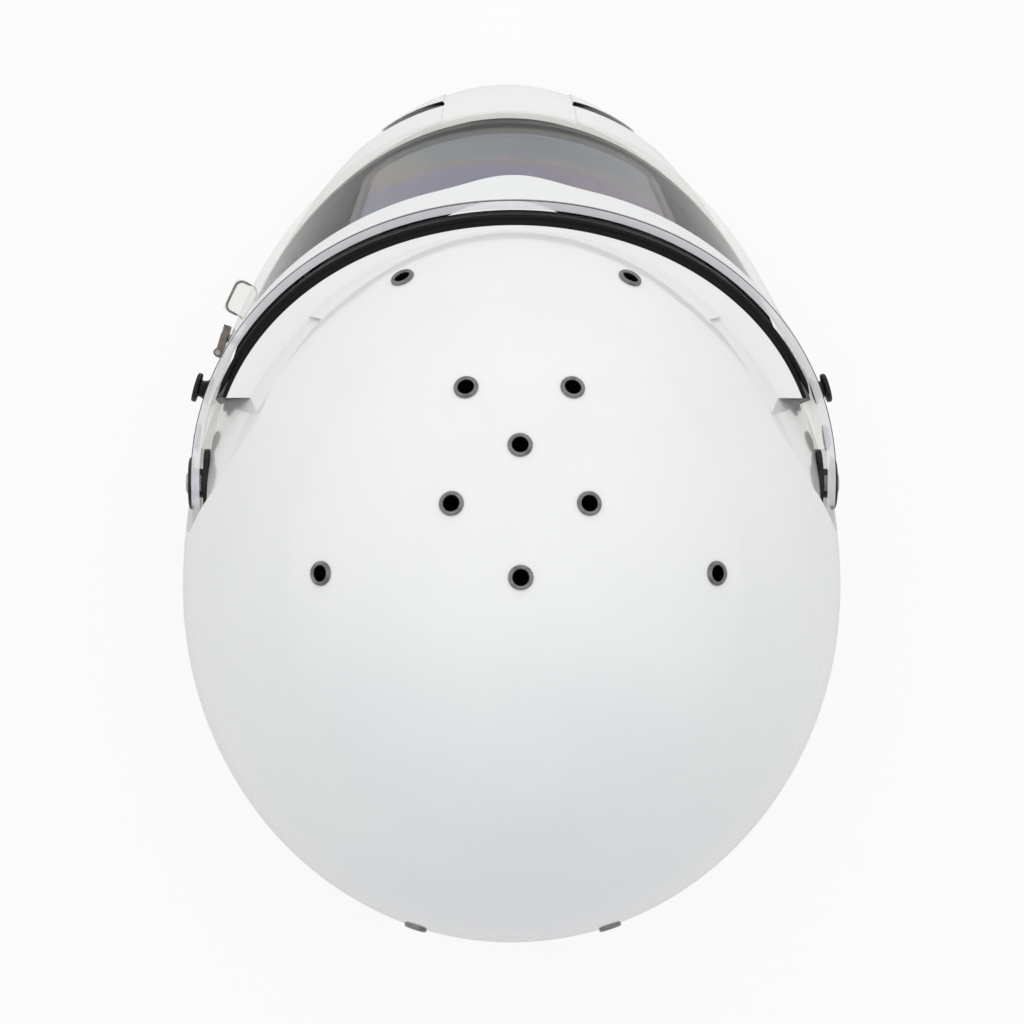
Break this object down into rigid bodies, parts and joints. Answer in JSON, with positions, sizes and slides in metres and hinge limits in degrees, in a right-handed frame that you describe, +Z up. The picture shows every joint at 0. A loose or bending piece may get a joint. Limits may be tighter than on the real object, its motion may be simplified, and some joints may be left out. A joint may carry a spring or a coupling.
{
  "type": "auto racing helmet",
  "caption": "Full-face racing helmet with a hinged clear face shield, a quick latch, a chin strap with D-rings, padded lining and threaded anchors for a head restraint.",
  "frame": {"origin": "centre of the footprint's box, on the surface that the lower rim rests on", "axes": "+Z up to the crown, the helmet faces -Y, +X is the wearer's left"},
  "size_m": [0.254, 0.3402, 0.2562],
  "materials": {
    "white_shell": "glossy white gelcoat under clear lacquer",
    "foam": "black moulded bead foam",
    "black_rubber": "satin black rubber",
    "lining": "black flame resistant knit",
    "neck_cloth": "black flame resistant cloth",
    "black_plastic": "satin black moulded plastic",
    "dark_nickel": "dark nickel plate",
    "black_mesh": "fine black mesh",
    "steel": "plain steel",
    "clear_shield": "clear polycarbonate",
    "white_strip": "glossy white film",
    "clear_seal": "clear soft bead",
    "inner_film": "coated anti-fog film",
    "grey_metal": "hard coated",
    "webbing": "black woven webbing"
  },
  "bodies": {
    "shell": {"outer_shell": "white_shell", "eps_liner": "foam", "chin_liner": "foam", "eyeport_gasket": "black_rubber", "edge_trim": "black_rubber", "crown_pad": "lining", "left_cheek_pad": "lining", "right_cheek_pad": "lining", "neck_roll": "neck_cloth", "cheek_pad_studs": "black_plastic", "top_vent_eyelets": "dark_nickel", "rear_vent_eyelets": "dark_nickel", "left_chin_vent_mesh": "black_mesh", "right_chin_vent_mesh": "black_mesh", "left_pivot_plate": "black_plastic", "right_pivot_plate": "black_plastic", "left_pivot_ring": "black_plastic", "right_pivot_ring": "black_plastic", "left_pivot_screw": "steel", "right_pivot_screw": "steel", "left_pivot_nut": "steel", "right_pivot_nut": "steel", "latch_post": "steel", "left_strap_rivet": "steel", "right_strap_rivet": "steel", "left_anchor_insert": "steel", "right_anchor_insert": "steel"},
    "shield": {"shield": "clear_shield", "sun_strip": "white_strip", "inner_lens_seal": "clear_seal", "inner_lens": "inner_film", "left_tearoff_post": "black_plastic", "right_tearoff_post": "black_plastic", "left_arm_button": "black_plastic", "right_arm_button": "black_plastic", "latch_bracket": "grey_metal", "latch_pin": "steel"},
    "latch": {"shield_latch": "grey_metal"},
    "chin_strap": {"left_strap": "webbing", "right_strap": "webbing", "d_rings": "steel"}
  },
  "joints": [
    {"name": "shield_hinge", "type": "hinge", "parent": "shell", "child": "shield", "pos_m": [0, -0.00658, 0.138], "axis": [-1, 0, 0], "range_deg": [0, 50]},
    {"name": "latch_hinge", "type": "hinge", "parent": "shield", "child": "latch", "pos_m": [0.11562, -0.05875, 0.075], "axis": [0, 0, 1], "range_deg": [0, 45]},
    {"name": "strap_swing", "type": "hinge", "parent": "shell", "child": "chin_strap", "pos_m": [0, 0.005, 0.052], "axis": [-1, 0, 0], "range_deg": [-15, 20]}
  ]
}
